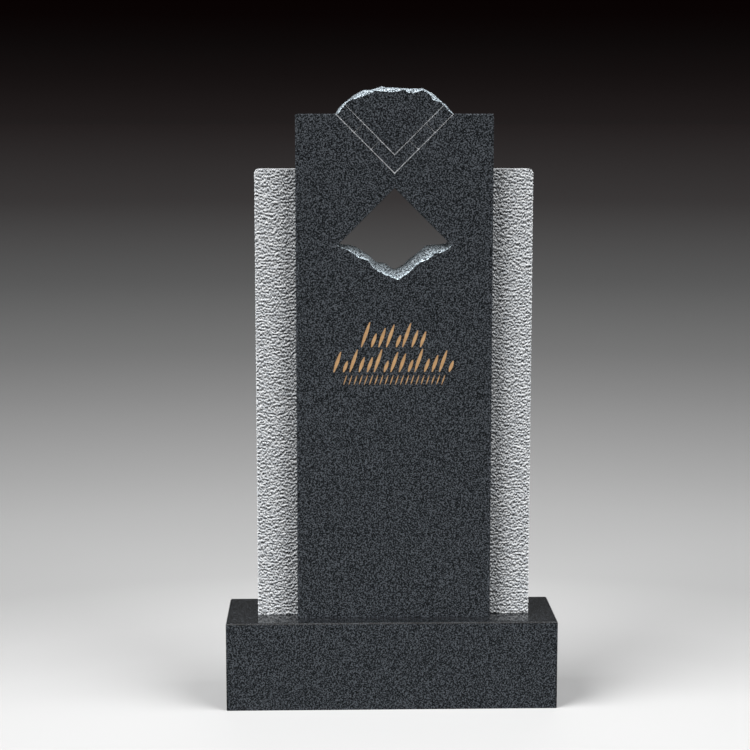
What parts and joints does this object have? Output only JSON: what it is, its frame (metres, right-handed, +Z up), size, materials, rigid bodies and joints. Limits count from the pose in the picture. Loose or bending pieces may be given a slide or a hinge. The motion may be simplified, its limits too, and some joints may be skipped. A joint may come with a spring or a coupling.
{
  "type": "headstone",
  "caption": "Upright granite headstone: a tablet with a rock-pitched crown and a pierced diamond, between tooled wings on a plain base.",
  "frame": {"origin": "middle of the underside of the base", "axes": "+Z up, +X to the right seen from the front, -Y towards the viewer in front of the inscribed face"},
  "size_m": [0.75, 0.22, 1.3978],
  "materials": {
    "dark_granite": "fine-grained dark blue-grey granite, honed faces, polished top of the base, pale where it is split",
    "tooled_granite": "light grey granite with a rippled, tooled surface",
    "gilding": "matt gilding in the sunk strokes"
  },
  "bodies": {
    "root": {"base": "dark_granite", "tablet": "dark_granite", "wing_left": "tooled_granite", "wing_right": "tooled_granite"}
  },
  "joints": []
}
